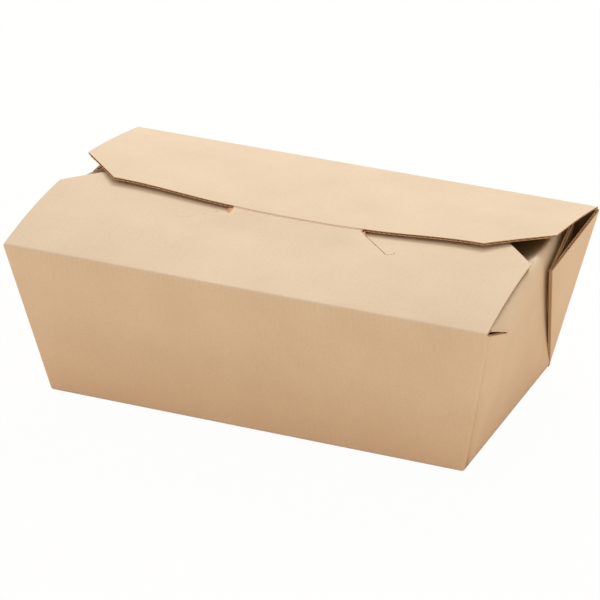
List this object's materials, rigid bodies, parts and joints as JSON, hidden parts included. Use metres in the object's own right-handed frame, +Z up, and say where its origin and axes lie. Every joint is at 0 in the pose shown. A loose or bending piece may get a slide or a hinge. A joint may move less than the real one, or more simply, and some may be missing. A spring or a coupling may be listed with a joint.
{
  "type": "corrugated card takeaway box",
  "caption": "Folded takeaway box of thin corrugated kraft board with leaning walls, folded corner webs, bowed top flaps and a tuck lock; the rear flap swings open.",
  "frame": {"origin": "middle of the underside of the base", "axes": "+X along the long front wall, +Y from the front wall to the hinged rear wall, +Z up"},
  "size_m": [0.2006, 0.1244, 0.0749],
  "materials": {
    "kraft_board": "matte uncoated kraft liners, brown flutes at the cut edges"
  },
  "bodies": {
    "box": {"box_body": "kraft_board"},
    "rear_flap": {"rear_flap": "kraft_board"}
  },
  "joints": [
    {"name": "rear_flap_hinge", "type": "hinge", "parent": "box", "child": "rear_flap", "pos_m": [0, 0.0622, 0.065], "axis": [-1, 0, 0], "range_deg": [0, 180]}
  ]
}
